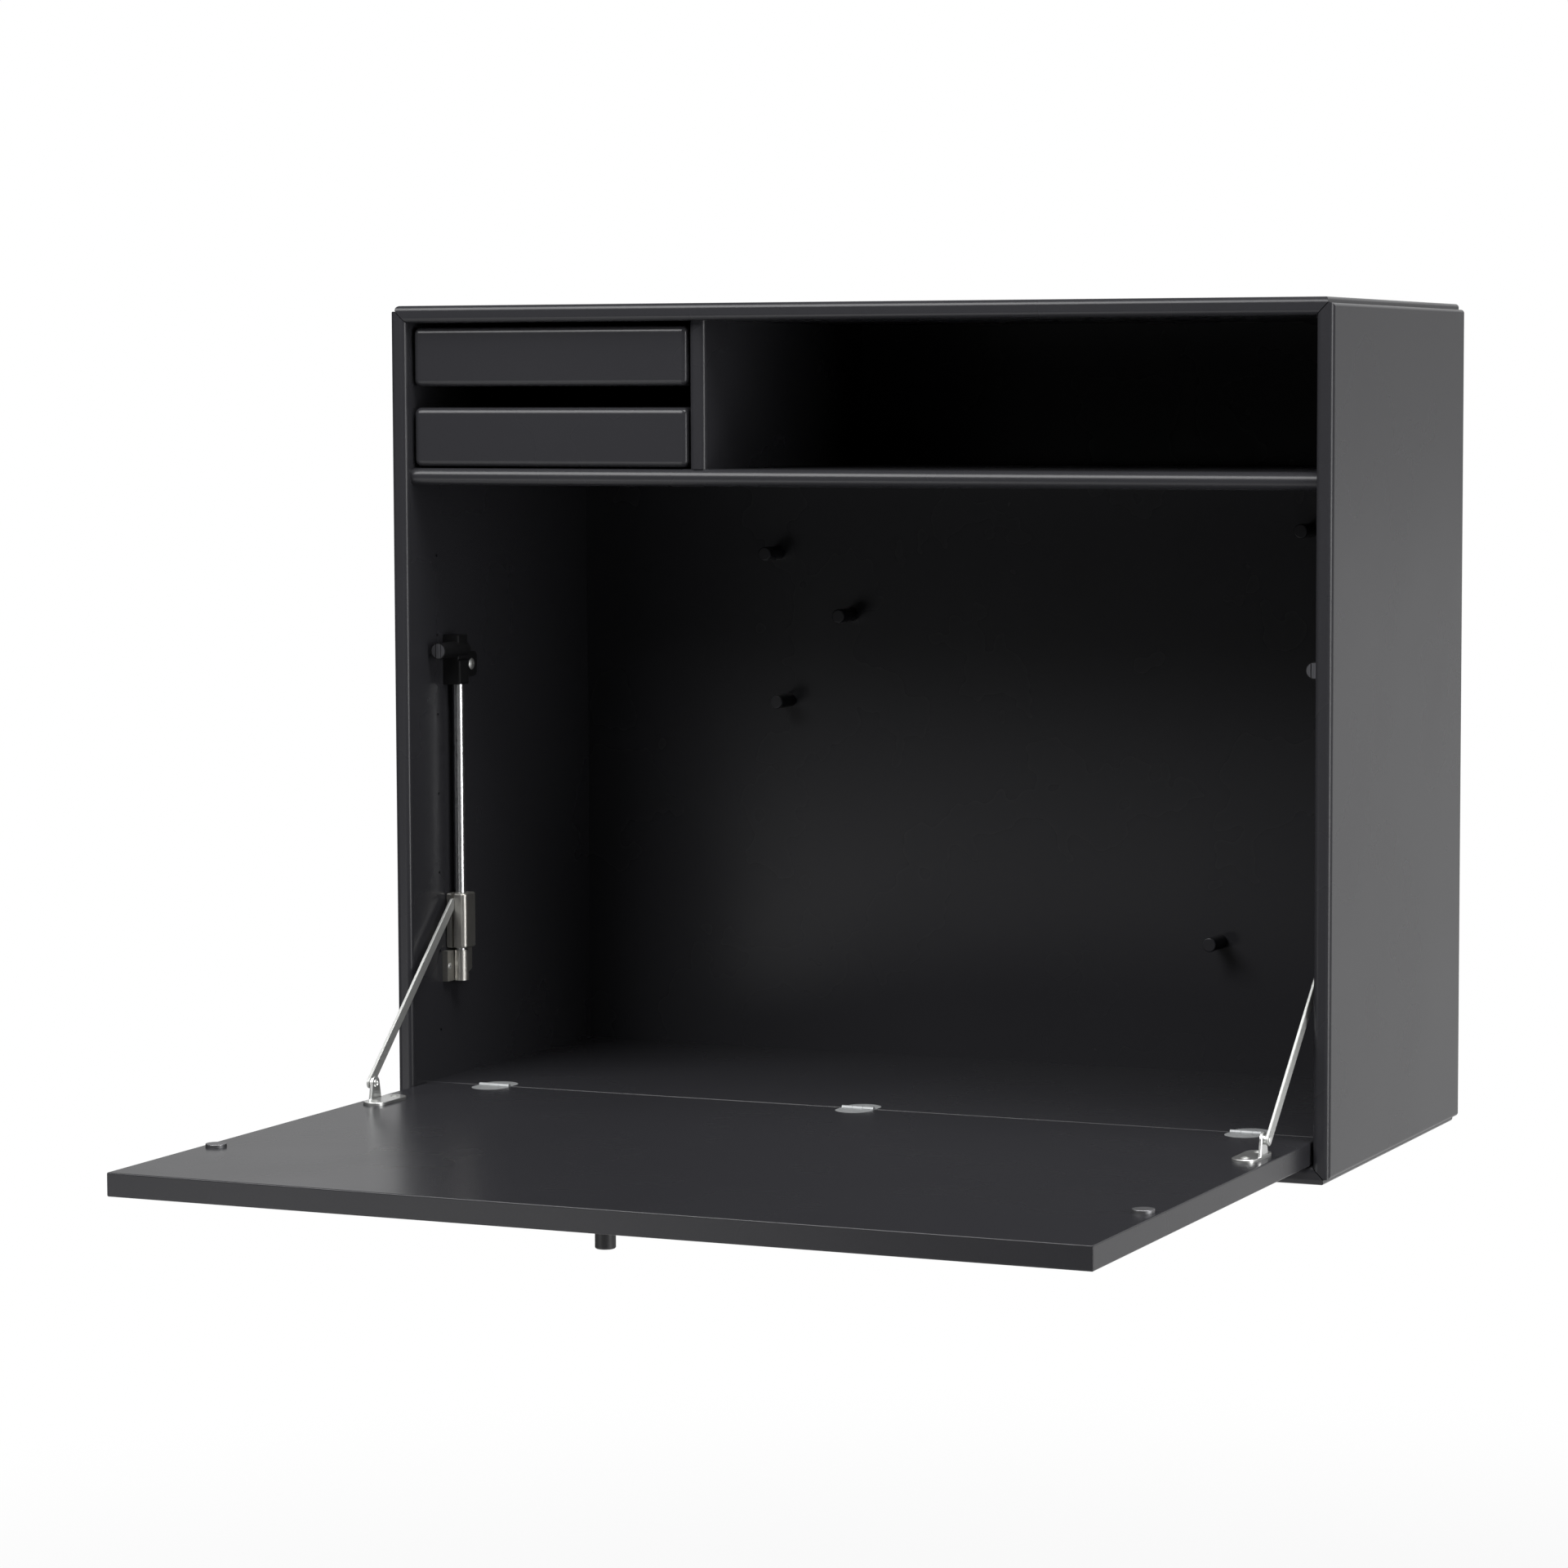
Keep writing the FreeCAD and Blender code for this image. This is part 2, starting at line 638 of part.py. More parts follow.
def flap_bracket():
    # Angle bracket: an oblong base screwed to the flap and an ear that carries the rivet
    ear_outer = wall_x - ear_from_wall
    ear_inner = ear_outer - bracket_t
    base_mid = ear_outer - bracket_w / 2
    y = bracket_pivot.y
    end_r = bracket_w / 2
    straight = bracket_len / 2 - end_r
    z = floor_top
    edges = [
        Part.makeLine(V(ear_outer, y - straight, z), V(ear_outer, y + straight, z)),
        Part.Arc(V(ear_outer, y + straight, z), V(base_mid, y + straight + end_r, z),
                 V(ear_outer - bracket_w, y + straight, z)).toShape(),
        Part.makeLine(V(ear_outer - bracket_w, y + straight, z), V(ear_outer - bracket_w, y - straight, z)),
        Part.Arc(V(ear_outer - bracket_w, y - straight, z), V(base_mid, y - straight - end_r, z),
                 V(ear_outer, y - straight, z)).toShape(),
    ]
    base = eased(outline_prism(edges, UP * bracket_t), bracket_ease, lambda b: b.ZMin > z + same_place)
    pivot_z = bracket_pivot.z
    ear_edges = [
        Part.makeLine(V(ear_inner, y - ear_top_r, pivot_z), V(ear_inner, y - ear_base_half, z)),
        Part.makeLine(V(ear_inner, y - ear_base_half, z), V(ear_inner, y + ear_base_half, z)),
        Part.makeLine(V(ear_inner, y + ear_base_half, z), V(ear_inner, y + ear_top_r, pivot_z)),
        Part.Arc(V(ear_inner, y + ear_top_r, pivot_z), V(ear_inner, y, pivot_z + ear_top_r),
                 V(ear_inner, y - ear_top_r, pivot_z)).toShape(),
    ]
    ear_rim = lambda b: b.XLength < same_place and b.ZMax > z + same_place
    ear = eased(outline_prism(ear_edges, RIGHT * bracket_t), bracket_ease, ear_rim)

    def at(x):
        return V(x, y, pivot_z)

    rivet = joined(
        round_bar(rivet_r, at(ear_inner - rivet_head_t), at(arm_outer + rivet_play + rivet_head_t)),
        round_bar(rivet_head_r, at(ear_inner - rivet_head_t), at(ear_inner)),
        round_bar(rivet_shoulder_r, at(ear_outer), at(arm_inner - rivet_play)),
        round_bar(rivet_head_r, at(arm_outer + rivet_play), at(arm_outer + rivet_play + rivet_head_t)),
    )
    base_top = z + bracket_t

    def inside_bend(b):
        at_corner = abs(b.XMin - ear_inner) < same_place and abs(b.ZMin - base_top) < same_place
        return at_corner and b.YLength > ear_base_half

    bracket = rounded(joined(base, ear), bracket_bend_r, inside_bend)
    bracket = bracket.cut(round_bar(rivet_r, at(ear_inner - overrun), at(ear_outer + overrun)))
    screws = []
    for way in (-1, 1):
        head = V(base_mid, y + way * (bracket_len / 2 - bracket_screw_in), base_top)
        screws.append(countersunk_screw(head, -UP, bracket_screw_head_r, bracket_screw_r, bracket_screw_len))
    return bracket.cut(screws), rivet, screws


def stays(nodes):
    foot, foot_screw = stay_foot()
    housing, magnet, housing_screw = stay_housing()
    bracket, rivet, bracket_screws = flap_bracket()
    rod = rod_bar(rod_r, foot_top - rod_in_foot, housing_low + rod_in_housing)
    one_side = {
        "stay_foot": foot, "stay_housing": housing, "stay_rod": rod, "catch_magnet": magnet,
        "stay_slider": stay_slider(), "stay_arm": stay_arm(), "flap_bracket": bracket,
    }
    for name, shape in one_side.items():
        nodes[name + "_right"] = shape
        nodes[name + "_left"] = mirrored(shape)
    wall_screws = [foot_screw, housing_screw]
    nodes["case_right_side"] = nodes["case_right_side"].cut(wall_screws)
    left_screws = [mirrored(screw) for screw in wall_screws]
    nodes["case_left_side"] = nodes["case_left_side"].cut(left_screws)
    nodes["stay_screws"] = Part.makeCompound(wall_screws + left_screws)
    flap_screws = bracket_screws + [mirrored(screw) for screw in bracket_screws]
    nodes["flap_panel"] = nodes["flap_panel"].cut(flap_screws)
    nodes["bracket_screws"] = Part.makeCompound(flap_screws)
    nodes["bracket_rivets"] = Part.makeCompound([rivet, mirrored(rivet)])


nodes = {}
nodes.update(case_boards())
nodes.update(inner_boards())
nodes.update(drawers())
dowels(nodes)
pilot_holes(nodes)
back_pegs(nodes)
wall_rail(nodes)
flap(nodes)
hinges(nodes)
stays(nodes)

os.makedirs("parts", exist_ok=True)
for name, shape in nodes.items():
    shape.exportStep("parts/" + name + ".step")
print(len(nodes), "nodes; slider travel", round(slider_travel, 3), "arm length", round(arm_len, 3))
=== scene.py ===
import math

import bmesh
import bpy
from mathutils import Matrix, Vector


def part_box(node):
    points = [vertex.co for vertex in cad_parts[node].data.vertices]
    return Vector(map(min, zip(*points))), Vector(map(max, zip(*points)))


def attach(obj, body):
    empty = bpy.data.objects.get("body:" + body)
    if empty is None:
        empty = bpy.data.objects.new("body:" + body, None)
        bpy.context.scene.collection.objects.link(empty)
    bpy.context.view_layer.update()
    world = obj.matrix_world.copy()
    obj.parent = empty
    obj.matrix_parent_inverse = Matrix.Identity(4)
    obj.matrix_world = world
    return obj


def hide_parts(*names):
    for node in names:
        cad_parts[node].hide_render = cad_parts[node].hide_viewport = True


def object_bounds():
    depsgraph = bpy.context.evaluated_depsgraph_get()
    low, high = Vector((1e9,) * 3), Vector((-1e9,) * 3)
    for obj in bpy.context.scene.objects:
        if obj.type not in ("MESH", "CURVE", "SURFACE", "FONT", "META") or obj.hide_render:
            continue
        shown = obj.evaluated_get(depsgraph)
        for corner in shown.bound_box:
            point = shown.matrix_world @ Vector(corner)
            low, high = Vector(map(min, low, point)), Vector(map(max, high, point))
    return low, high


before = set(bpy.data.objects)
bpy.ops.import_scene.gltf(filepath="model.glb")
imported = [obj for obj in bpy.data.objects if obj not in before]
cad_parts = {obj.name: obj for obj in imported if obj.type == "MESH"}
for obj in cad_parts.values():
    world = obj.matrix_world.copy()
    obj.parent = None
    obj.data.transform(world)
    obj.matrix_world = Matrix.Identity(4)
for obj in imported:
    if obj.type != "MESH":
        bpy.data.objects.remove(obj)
cad_low, cad_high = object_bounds()


# The case: sides, top, bottom, back, shelf, divider and the raised floor behind the flap.
# They are 12 and 16 mm MDF boards. The outer four are mitred and glued, with a small step at each corner,
# and every edge is rounded over before the whole is sprayed.
case_boards = [
    "case_left_side", "case_right_side", "case_top", "case_bottom", "case_back",
    "shelf", "divider", "floor_board",
]
mm = 0.001


def linear(colour):
    """An sRGB hex colour as the linear RGBA that the shaders take."""
    channels = [int(colour[i:i + 2], 16) / 255 for i in (1, 3, 5)]
    return [c / 12.92 if c <= 0.04045 else ((c + 0.055) / 1.055) ** 2.4 for c in channels] + [1.0]


def feed(tree, node, inputs):
    """Writes each value into the socket of that name, or links it if it is a socket itself."""
    for name, value in inputs.items():
        socket = next(s for s in node.inputs if s.identifier == name)
        if isinstance(value, bpy.types.NodeSocket):
            tree.links.new(value, socket)
        else:
            socket.default_value = value


def add(tree, kind, inputs, output=None, **settings):
    """Adds a node with its settings and links, and gives back one of its outputs."""
    node = tree.nodes.new("ShaderNode" + kind)
    for name, value in settings.items():
        setattr(node, name, value)
    feed(tree, node, inputs)
    return next(s for s in node.outputs if output in (None, s.identifier))


def new_material(name):
    """A material with its node tree and Principled shader, and the place on the piece in metres."""
    material = bpy.data.materials.new(name)
    material.use_nodes = True
    tree = material.node_tree
    place = add(tree, "TexCoord", {}, "Object")
    return material, tree, tree.nodes["Principled BSDF"], place


def per_mm(size):
    """The texture scale at which one cell is this many millimetres wide."""
    return 1000.0 / size


def dress(material, names):
    """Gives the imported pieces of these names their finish."""
    for name in names:
        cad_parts[name].material_slots[0].material = material


def sprayed_lacquer(name, colour, pale, roughness):
    """Satin water-based lacquer on MDF: an even colour, a broad soft sheen and a faint orange peel."""
    peel_mm = 2.2
    speck_mm = 0.9
    cloud_mm = 90.0
    gloss_spread = 0.03
    material, tree, shader, place = new_material(name)
    peel = add(tree, "TexNoise", {"Vector": place, "Scale": per_mm(peel_mm), "Detail": 1.5})
    cloud = add(tree, "TexNoise", {"Vector": place, "Scale": per_mm(cloud_mm), "Detail": 3.0})
    speck = add(tree, "TexNoise", {"Vector": place, "Scale": per_mm(speck_mm), "Detail": 2.0})
    tint = add(tree, "Mix", {
        "Factor_Float": speck, "A_Color": linear(colour), "B_Color": linear(pale),
    }, "Result_Color", data_type="RGBA")
    gloss = add(tree, "MapRange", {
        "Value": cloud, "To Min": roughness - gloss_spread, "To Max": roughness + gloss_spread,
    })
    relief = add(tree, "Bump", {"Height": peel, "Strength": 0.08, "Distance": 0.2 * mm})
    feed(tree, shader, {
        "Base Color": tint, "Roughness": gloss, "Normal": relief,
        "IOR": 1.5, "Specular IOR Level": 0.225,
    })
    return material


# Charcoal lacquer: nearly black where it is turned from the light, grey where it mirrors a pale room.
charcoal_lacquer = sprayed_lacquer("charcoal_lacquer_on_mdf", "#222224", "#27272A", roughness=0.27)
dress(charcoal_lacquer, case_boards)


# Dowels in the ends of the shelf and of the divider.
# They are turned beech, glued into blind holes, and hidden once the case is together.
def turned_beech(name):
    """Beech: warm pale wood with short darker flecks."""
    fleck_long_mm = 6.0
    fleck_wide_mm = 0.8
    material, tree, shader, place = new_material(name)
    across = per_mm(fleck_wide_mm)
    fibre = add(tree, "Mapping", {"Vector": place, "Scale": (per_mm(fleck_long_mm), across, across)})
    grain = add(tree, "TexNoise", {"Vector": fibre, "Scale": 1.0, "Detail": 4.0})
    tint = add(tree, "Mix", {
        "Factor_Float": grain, "A_Color": linear("#C79A6B"), "B_Color": linear("#E0BC90"),
    }, "Result_Color", data_type="RGBA")
    feed(tree, shader, {"Base Color": tint, "Roughness": 0.6, "IOR": 1.5})
    return material


dress(turned_beech("turned_beech"), ["shelf_dowels", "divider_dowels"])


# Five pegs on the back panel, to hang small things on.
# They are turned hardwood with a spigot glued into the panel, and sprayed with the case.
dress(charcoal_lacquer, ["back_pegs"])


# The rail that is screwed to the wall, and the cleat on the back panel that hooks over its lip.
# Both are folded from galvanised sheet. Four raised-head screws hold the cleat to the panel.
def galvanised_sheet(name):
    """Hot-dip zinc on steel: grey with large flat spangles that differ a little in shade and gloss."""
    spangle_mm = 7.0
    material, tree, shader, place = new_material(name)
    spangle = add(tree, "TexVoronoi", {"Vector": place, "Scale": per_mm(spangle_mm)}, "Color")
    tint = add(tree, "Mix", {
        "Factor_Float": spangle, "A_Color": linear("#9CA1A4"), "B_Color": linear("#B9BDBF"),
    }, "Result_Color", data_type="RGBA")
    gloss = add(tree, "MapRange", {"Value": spangle, "To Min": 0.32, "To Max": 0.5})
    feed(tree, shader, {"Base Color": tint, "Metallic": 1.0, "Roughness": gloss})
    return material


dress(galvanised_sheet("galvanised_sheet"), ["wall_rail", "hanger_cleat"])


def brushed_metal(name, dark, pale, roughness, streak_mm, along, clear_coat=0.0):
    """Plated metal: streaks along one axis vary its shade and gloss. They are drawn coarser than they are.

    A clear coat lays a mirror over the satin, as on polished plating.
    """
    streak_stretch = 30.0
    gloss_spread_share = 0.2
    material, tree, shader, place = new_material(name)
    fine = per_mm(streak_mm)
    stretched = [fine] * 3
    stretched["XYZ".index(along)] = fine / streak_stretch
    streaks = add(tree, "Mapping", {"Vector": place, "Scale": stretched})
    brush = add(tree, "TexNoise", {"Vector": streaks, "Scale": 1.0, "Detail": 4.0})
    tint = add(tree, "Mix", {
        "Factor_Float": brush, "A_Color": linear(dark), "B_Color": linear(pale),
    }, "Result_Color", data_type="RGBA")
    gloss = add(tree, "MapRange", {
        "Value": brush,
        "To Min": roughness * (1 - gloss_spread_share), "To Max": roughness * (1 + gloss_spread_share),
    })
    relief = add(tree, "Bump", {"Height": brush, "Strength": 0.1, "Distance": 0.05 * mm})
    feed(tree, shader, {
        "Base Color": tint, "Metallic": 1.0, "Roughness": gloss, "Normal": relief,
        "Coat Weight": clear_coat, "Coat Roughness": 0.05, "Coat IOR": 2.0,
    })
    return material


sharp_angle = math.radians(35)


def finished(shape):
    """A mesh from a bmesh, smooth but for its sharp edges."""
    mesh = bpy.data.meshes.new("mesh")
    shape.to_mesh(mesh)
    shape.free()
    mesh.shade_smooth()
    mesh.set_sharp_from_angle(angle=sharp_angle)
    return mesh


def lathe(profile, steps=32):
    """A closed mesh turned round Z from (radius, height) points. A radius of 0 is a point on the axis."""
    shape = bmesh.new()
    angles = [2 * math.pi * step / steps for step in range(steps)]
    rings = []
    for radius, height in profile:
        around = angles if radius else [0.0]
        rings.append([shape.verts.new((radius * math.cos(a), radius * math.sin(a), height)) for a in around])
    for low, high in zip(rings, rings[1:]):
        for i in range(steps):
            j = (i + 1) % steps
            corners = [low[i % len(low)], low[j % len(low)], high[j % len(high)], high[i % len(high)]]
            shape.faces.new(list(dict.fromkeys(corners)))
    bmesh.ops.recalc_face_normals(shape, faces=shape.faces)
    return finished(shape)


def bridged(outlines):
    """A closed mesh between two outlines with the same number of points."""
    shape = bmesh.new()
    near, far = [[shape.verts.new(point) for point in outline] for outline in outlines]
    shape.faces.new(near)
    shape.faces.new(far)
    for i in range(len(near)):
        j = (i + 1) % len(near)
        shape.faces.new((near[i], near[j], far[j], far[i]))
    bmesh.ops.recalc_face_normals(shape, faces=shape.faces)
    return finished(shape)


def without(mesh, bit):
    """The first mesh with the second cut out of it."""
    holders = [bpy.data.objects.new("blank", mesh), bpy.data.objects.new("bit", bit)]
    for holder in holders:
        bpy.context.scene.collection.objects.link(holder)
    taken = holders[0].modifiers.new("cut", "BOOLEAN")
    taken.object = holders[1]
    taken.operation = "DIFFERENCE"
    graph = bpy.context.evaluated_depsgraph_get()
    left = bpy.data.meshes.new_from_object(holders[0].evaluated_get(graph))
    for holder in holders:
        bpy.data.objects.remove(holder)
    left.set_sharp_from_angle(angle=sharp_angle)
    return left


def cross_bit(reach, half_width, top, depth):
    """The point of a cross screwdriver: four wings that narrow downwards."""
    tip_share = 0.45
    outlines = []
    for height, tip in ((top, reach), (-depth, reach * tip_share)):
        wing = [(tip, -half_width, height), (tip, half_width, height), (half_width, half_width, height)]
        turns = [Matrix.Rotation(quarter * math.pi / 2, 3, "Z") for quarter in range(4)]
        outlines.append([turn @ Vector(point) for turn in turns for point in wing])
    return bridged(outlines)


def cross_screw(head_r, shank_r, length, dome):
    """A countersunk wood screw along -Z, with a cross recess in its domed head. The rim is at height 0."""
    steps = 6
    top = [(head_r * k / steps, dome * (1 - (k / steps) ** 2)) for k in range(steps)]
    cone = head_r - shank_r
    point = 2 * shank_r
    blank = lathe(top + [
        (head_r, 0.0), (shank_r, -cone), (shank_r, point - length), (0.0, -length),
    ])
    recess = cross_bit(
        reach=head_r * 0.6, half_width=head_r * 0.13, top=dome + head_r, depth=head_r * 0.45,
    )
    return without(blank, recess)


def pointing(place, out, turn):
    """Where a turned piece goes: its axis along out, turned round that axis by an angle."""
    facing = Vector(out).to_track_quat("Z", "Y").to_matrix().to_4x4()
    return Matrix.Translation(place) @ facing @ Matrix.Rotation(turn, 4, "Z")


def fixed(name, mesh_places, material, body, node=None):
    """One piece from meshes and their places, on a body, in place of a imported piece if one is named."""
    shape = bmesh.new()
    for mesh, place in mesh_places:
        copy = mesh.copy()
        copy.transform(place)
        shape.from_mesh(copy)
        bpy.data.meshes.remove(copy)
    piece = bpy.data.objects.new(name, finished(shape))
    piece.data.materials.append(material)
    bpy.context.scene.collection.objects.link(piece)
    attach(piece, body)
    if node:
        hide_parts(node)
    return piece


# Zinc plate: pale screws with a dull silvery shine.
zinc_plate = brushed_metal(
    "zinc_plated_screw", "#CBCCCA", "#E6E7E4", roughness=0.46, streak_mm=0.3, along="X",
)
cleat_t = 2.0 * mm
cleat_screw_inset = 5.5 * mm
cleat_screw_shares = (-0.42, -0.14, 0.14, 0.42)
# Radians of turn over the whole row, so that no two recesses line up
cleat_screw_turn = 7.0
cleat_low, cleat_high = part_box("hanger_cleat")
cleat_length = cleat_high.x - cleat_low.x
cleat_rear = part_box("case_back")[1].y + cleat_t
cleat_screw = cross_screw(head_r=3.2 * mm, shank_r=1.5 * mm, length=9.0 * mm, dome=1.3 * mm)
cleat_screws = []
for share in cleat_screw_shares:
    spot = Vector((share * cleat_length, cleat_rear, cleat_low.z + cleat_screw_inset))
    cleat_screws.append((cleat_screw, pointing(spot, (0, 1, 0), share * cleat_screw_turn)))
fixed("cleat_screws", cleat_screws, zinc_plate, "case")


# Two shallow drawers: rounded fronts on boxes of dark board, which slide on plastic runners.
# The fronts are MDF sprayed with the case. They have no handle: a finger gap lies between them.
def moulded_plastic(name, colour, pale, roughness, grain_mm, shine=0.5):
    """Black plastic or powder coat: an even grain, drawn coarser than it is, with a dull sheen."""
    material, tree, shader, place = new_material(name)
    grain = add(tree, "TexNoise", {"Vector": place, "Scale": per_mm(grain_mm), "Detail": 3.0})
    tint = add(tree, "Mix", {
        "Factor_Float": grain, "A_Color": linear(colour), "B_Color": linear(pale),
    }, "Result_Color", data_type="RGBA")
    relief = add(tree, "Bump", {"Height": grain, "Strength": 0.2, "Distance": 0.1 * mm})
    feed(tree, shader, {
        "Base Color": tint, "Roughness": roughness, "Normal": relief,
        "IOR": 1.5, "Specular IOR Level": shine,
    })
    return material


# Drawer board: the same lacquer in one thin coat, so it stays dull. Runner plastic: a smooth deep black.
drawer_board = sprayed_lacquer("dark_drawer_board", "#252527", "#2B2B2E", roughness=0.55)
runner_plastic = moulded_plastic("black_runner_plastic", "#141415", "#1C1C1E", roughness=0.45, grain_mm=1.2)
for drawer in ("upper_drawer_", "lower_drawer_"):
    dress(charcoal_lacquer, [drawer + "front"])
    dress(drawer_board, [drawer + board for board in ("left_side", "right_side", "back", "bottom")])
    dress(runner_plastic, [drawer + "left_runner", drawer + "right_runner"])


# The front edge of the raised floor, where the flap meets it: the same lacquered MDF.
# It is planed to a steep chamfer before spraying, which shows as a thin pale line behind the flap.
def welded(node):
    """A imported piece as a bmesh, with the seams between its faces joined."""
    seam = 0.001 * mm
    shape = bmesh.new()
    shape.from_mesh(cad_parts[node].data)
    bmesh.ops.remove_doubles(shape, verts=shape.verts, dist=seam)
    return shape


chamfer_run = 1.2 * mm
chamfer_tilt = math.radians(51)
plane_depth = 6.0 * mm
plane_overrun = 1.1
floor_low, floor_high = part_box("floor_board")
floor_edge = Vector((0, floor_low.y + chamfer_run, floor_high.z))
edge_out = Vector((0, -math.sin(chamfer_tilt), math.cos(chamfer_tilt)))
edge_length = Matrix.Diagonal((plane_overrun * (floor_high.x - floor_low.x) / plane_depth, 1, 1, 1))
planed_off = bmesh.new()
bmesh.ops.create_cube(
    planed_off, size=plane_depth,
    matrix=pointing(floor_edge + edge_out * plane_depth / 2, edge_out, 0.0) @ edge_length,
)
planed_floor = without(finished(welded("floor_board")), finished(planed_off))
raised_floor = fixed(
    "planed_floor_board", [(planed_floor, Matrix.Identity(4))],
    charcoal_lacquer, "case", "floor_board",
)
raised_floor.data.shade_flat()


# The writing flap, a 16 mm lacquered board.
# Two steel strike discs are stuck near its free edge, and a small coated metal knob is screwed in below it.
dress(charcoal_lacquer, ["flap_panel"])

# Strike steel: a plain grey disc, ground dull. Powder coat: a dull black skin with a fine grain.
strike_steel = brushed_metal(
    "satin_strike_steel", "#707072", "#88888A", roughness=0.5, streak_mm=0.3, along="X",
)
powder_coat = moulded_plastic("black_powder_coat", "#101012", "#161619", roughness=0.5, grain_mm=0.6)
dress(strike_steel, ["strike_disc_left", "strike_disc_right"])
dress(powder_coat, ["flap_knob"])


# Three flush oval hinges: stamped leaves let into the floor and the flap, with a steel pin.
# They are satin nickel plated, and each leaf is held by three small countersunk screws.
def solids(node):
    """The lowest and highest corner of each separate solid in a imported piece, in order of place."""
    shape = welded(node)
    left = set(shape.verts)
    boxes = []
    while left:
        group = [left.pop()]
        for vert in group:
            near = [edge.other_vert(vert) for edge in vert.link_edges]
            fresh = [other for other in near if other in left]
            left.difference_update(fresh)
            group.extend(fresh)
        boxes.append([Vector([pick(vert.co[i] for vert in group) for i in range(3)]) for pick in (min, max)])
    shape.free()
    return sorted(boxes, key=lambda box: tuple(box[0]))


# Satin nickel: a cool grey with a soft wide shine and no clear reflection.
satin_nickel = brushed_metal(
    "satin_nickel_plate", "#989A9B", "#AEB0B1", roughness=0.66, streak_mm=0.25, along="X",
)
for place_name in ("left", "center", "right"):
    dress(satin_nickel, ["hinge_floor_leaf_" + place_name, "hinge_flap_leaf_" + place_name])
dress(satin_nickel, ["hinge_pins"])


def upright_screws(name, shank_r, dome, material, body, node):
    """Countersunk screws that stand upright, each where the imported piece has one."""
    places = []
    for turn, (low, high) in enumerate(solids(node)):
        screw = cross_screw((high.x - low.x) / 2, shank_r, high.z - low.z, dome)
        head = Vector(((low.x + high.x) / 2, (low.y + high.y) / 2, high.z))
        places.append((screw, pointing(head, (0, 0, 1), turn)))
    return fixed(name, places, material, body, node)


hinge_shank_r = 1.2 * mm
hinge_dome = 0.3 * mm
upright_screws("floor_leaf_screws", hinge_shank_r, hinge_dome, satin_nickel, "case", "hinge_floor_screws")
upright_screws("flap_leaf_screws", hinge_shank_r, hinge_dome, satin_nickel, "flap", "hinge_flap_screws")


# The fixed part of each stay: a cast foot, a chromed rod and a black nylon housing with the magnetic catch.
# Foot and housing are each screwed to the side by a screw with a raised head.
sides = ("left", "right")

# Cast nickel: warm grey, a little uneven. Chrome: bright with dark bands. Nylon: black, hardly any shine.
cast_nickel = brushed_metal(
    "nickel_plated_zinc_casting", "#A3A19C", "#C2C0BB", roughness=0.42, streak_mm=0.5, along="Z",
)
chrome = brushed_metal("chromed_rod", "#C9CACB", "#E4E5E5", roughness=0.28, streak_mm=0.25, along="Z")
black_nylon = moulded_plastic("black_nylon", "#0B0B0C", "#111112", roughness=0.6, grain_mm=0.5, shine=0.12)
for side in sides:
    dress(cast_nickel, ["stay_foot_" + side])
    dress(chrome, ["stay_rod_" + side])
    dress(black_nylon, ["stay_housing_" + side])

stay_screw_places = []
for low, high in solids("stay_screws"):
    inward = -1 if low.x > 0 else 1
    head_r = (high.y - low.y) / 2
    raised = cross_screw(head_r, shank_r=head_r * 0.4, length=high.x - low.x, dome=head_r * 0.3)
    head = Vector((low.x if low.x > 0 else high.x, (low.y + high.y) / 2, (low.z + high.z) / 2))
    stay_screw_places.append((raised, pointing(head, (inward, 0, 0), head.z)))
fixed("stay_wall_screws", stay_screw_places, zinc_plate, "case", "stay_screws")


# The catch: a ferrite slab between two steel pole plates, pressed into the housing's barrel.
# The plates stand a little proud of the slab, which leaves a dark line on each side of it.
def barrel_slice(radius, x0, x1, near, far):
    """The part of a bar along Y that lies between two upright planes."""
    steps = 12
    on_axis = radius * 0.001
    start, end = math.acos(x1 / radius), math.acos(x0 / radius)
    arc = [start + (end - start) * step / steps for step in range(steps + 1)]
    rim = [(radius * math.cos(a), radius * math.sin(a)) for a in arc]
    rim += [(x, -z) for x, z in reversed(rim) if abs(z) > on_axis]
    return bridged([[(x, y, z) for x, z in rim] for y in (near, far)])


# Pole steel: dark grey with a low shine, and so is the face of the slab between the poles.
pole_steel = brushed_metal(
    "magnet_pole_steel", "#4A4A4D", "#66666A", roughness=0.45, streak_mm=0.8, along="Z",
)
slab_share = 0.36
dark_line = 0.5 * mm
slab_depth = 0.25 * mm
for side in sides:
    node = "catch_magnet_" + side
    low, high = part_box(node)
    centre = (low + high) / 2
    radius = (high.x - low.x) / 2
    slab_half = radius * slab_share
    seat = Matrix.Translation((centre.x, 0, centre.z))
    plates = [
        (barrel_slice(radius, -radius, -slab_half - dark_line, low.y, high.y), seat),
        (barrel_slice(radius, slab_half + dark_line, radius, low.y, high.y), seat),
    ]
    fixed("catch_poles_" + side, plates, pole_steel, "case", node)
    slab = barrel_slice(radius, -slab_half, slab_half, low.y + slab_depth, high.y)
    fixed("catch_slab_" + side, [(slab, seat)], pole_steel, "case", node)


# The moving part of each stay: a cast slider on the rod and a flat steel arm.
# The arm goes from the slider to an angle bracket, which two screws hold on the flap.

